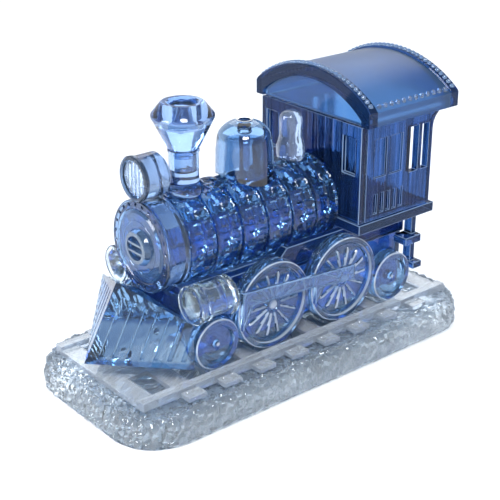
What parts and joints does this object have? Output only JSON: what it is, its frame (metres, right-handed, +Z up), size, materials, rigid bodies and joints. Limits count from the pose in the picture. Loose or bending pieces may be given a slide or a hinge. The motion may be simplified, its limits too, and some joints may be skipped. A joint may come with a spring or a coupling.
{
  "type": "3d jigsaw locomotive",
  "caption": "Take-apart puzzle of a steam locomotive in transparent blue plastic pieces, standing on a clear ballast base with track; pieces plug together and pull apart.",
  "frame": {"origin": "centre of the underside of the ballast base", "axes": "+X to the rear of the locomotive, +Y to its right side, +Z up"},
  "size_m": [0.14, 0.0646, 0.0917],
  "materials": {
    "base_plastic": "clear colourless polystyrene, gloss",
    "wheel_plastic": "transparent pale blue polystyrene, gloss",
    "body_plastic": "transparent deep blue polystyrene, gloss",
    "mounting_plastic": "transparent ice blue polystyrene, gloss",
    "cowcatcher_plastic": "transparent teal blue polystyrene, gloss"
  },
  "bodies": {
    "base": {"ballast_base": "base_plastic"},
    "track": {"track_panel": "base_plastic"},
    "chassis": {"frame_front": "body_plastic", "frame_middle": "body_plastic", "frame_rear": "body_plastic", "front_beam": "body_plastic", "rear_plate": "body_plastic", "running_board_left": "body_plastic", "running_board_right": "body_plastic", "cab_floor": "body_plastic", "cab_steps_left": "body_plastic", "cab_steps_right": "body_plastic"},
    "cowcatcher": {"cowcatcher": "cowcatcher_plastic"},
    "cylinder_left": {"steam_cylinder_left": "mounting_plastic"},
    "cylinder_right": {"steam_cylinder_right": "mounting_plastic"},
    "leading_wheel_left": {"leading_wheel_left": "wheel_plastic"},
    "leading_wheel_right": {"leading_wheel_right": "wheel_plastic"},
    "drivers_left": {"driving_wheel_front_left": "wheel_plastic", "driving_wheel_rear_left": "wheel_plastic"},
    "drivers_right": {"driving_wheel_front_right": "wheel_plastic", "driving_wheel_rear_right": "wheel_plastic"},
    "trailing_wheel_left": {"trailing_wheel_left": "wheel_plastic"},
    "trailing_wheel_right": {"trailing_wheel_right": "wheel_plastic"},
    "rod_left": {"side_rod_left": "wheel_plastic"},
    "rod_right": {"side_rod_right": "wheel_plastic"},
    "boiler": {"smokebox": "body_plastic", "boiler_ring_1": "body_plastic", "boiler_ring_2": "body_plastic", "boiler_ring_3": "body_plastic", "boiler_ring_4": "body_plastic", "boiler_ring_5": "body_plastic", "boiler_ring_6": "body_plastic", "boiler_spine": "body_plastic"},
    "door": {"smokebox_door": "body_plastic"},
    "chimney": {"chimney_shaft": "mounting_plastic"},
    "chimney_cap": {"chimney_cap": "mounting_plastic"},
    "dome": {"steam_dome": "mounting_plastic"},
    "bell": {"bell": "mounting_plastic"},
    "headlamp": {"headlamp_body": "mounting_plastic"},
    "lens": {"headlamp_lens": "mounting_plastic"},
    "cab": {"cab_front_wall": "body_plastic", "cab_side_left": "body_plastic", "cab_side_right": "body_plastic", "backhead": "body_plastic"},
    "roof": {"roof_shell": "body_plastic", "roof_gable_front": "body_plastic", "roof_gable_rear": "body_plastic"}
  },
  "joints": [
    {"name": "track_lift", "type": "slide", "parent": "base", "child": "track", "axis": [0, 0, 1], "range_m": [0, 0.014]},
    {"name": "chassis_lift", "type": "slide", "parent": "track", "child": "chassis", "axis": [0, 0, 1], "range_m": [0, 0.018]},
    {"name": "cowcatcher_pull", "type": "slide", "parent": "chassis", "child": "cowcatcher", "axis": [-1, 0, 0], "range_m": [0, 0.016]},
    {"name": "boiler_lift", "type": "slide", "parent": "chassis", "child": "boiler", "axis": [0, 0, 1], "range_m": [0, 0.024]},
    {"name": "cab_lift", "type": "slide", "parent": "chassis", "child": "cab", "axis": [0, 0, 1], "range_m": [0, 0.012]},
    {"name": "roof_lift", "type": "slide", "parent": "cab", "child": "roof", "axis": [0, 0, 1], "range_m": [0, 0.02]},
    {"name": "door_pull", "type": "slide", "parent": "boiler", "child": "door", "axis": [-1, 0, 0], "range_m": [0, 0.0042]},
    {"name": "chimney_lift", "type": "slide", "parent": "boiler", "child": "chimney", "axis": [0, 0, 1], "range_m": [0, 0.01]},
    {"name": "chimney_cap_lift", "type": "slide", "parent": "chimney", "child": "chimney_cap", "axis": [0, 0, 1], "range_m": [0, 0.008]},
    {"name": "dome_lift", "type": "slide", "parent": "boiler", "child": "dome", "axis": [0, 0, 1], "range_m": [0, 0.014]},
    {"name": "bell_lift", "type": "slide", "parent": "boiler", "child": "bell", "axis": [0, 0, 1], "range_m": [0, 0.012]},
    {"name": "headlamp_pull", "type": "slide", "parent": "boiler", "child": "headlamp", "axis": [-1, 0, 0], "range_m": [0, 0.014]},
    {"name": "lens_pull", "type": "slide", "parent": "headlamp", "child": "lens", "axis": [-1, 0, 0], "range_m": [0, 0.008]},
    {"name": "cylinder_left_pull", "type": "slide", "parent": "chassis", "child": "cylinder_left", "axis": [0, -1, 0], "range_m": [0, 0.016]},
    {"name": "leading_wheel_left_pull", "type": "slide", "parent": "chassis", "child": "leading_wheel_left", "axis": [0, -1, 0], "range_m": [0, 0.014]},
    {"name": "drivers_left_pull", "type": "slide", "parent": "chassis", "child": "drivers_left", "axis": [0, -1, 0], "range_m": [0, 0.014]},
    {"name": "trailing_wheel_left_pull", "type": "slide", "parent": "chassis", "child": "trailing_wheel_left", "axis": [0, -1, 0], "range_m": [0, 0.014]},
    {"name": "rod_left_pull", "type": "slide", "parent": "drivers_left", "child": "rod_left", "axis": [0, -1, 0], "range_m": [0, 0.01]},
    {"name": "cylinder_right_pull", "type": "slide", "parent": "chassis", "child": "cylinder_right", "axis": [0, 1, 0], "range_m": [0, 0.016]},
    {"name": "leading_wheel_right_pull", "type": "slide", "parent": "chassis", "child": "leading_wheel_right", "axis": [0, 1, 0], "range_m": [0, 0.014]},
    {"name": "drivers_right_pull", "type": "slide", "parent": "chassis", "child": "drivers_right", "axis": [0, 1, 0], "range_m": [0, 0.014]},
    {"name": "trailing_wheel_right_pull", "type": "slide", "parent": "chassis", "child": "trailing_wheel_right", "axis": [0, 1, 0], "range_m": [0, 0.014]},
    {"name": "rod_right_pull", "type": "slide", "parent": "drivers_right", "child": "rod_right", "axis": [0, 1, 0], "range_m": [0, 0.01]}
  ]
}
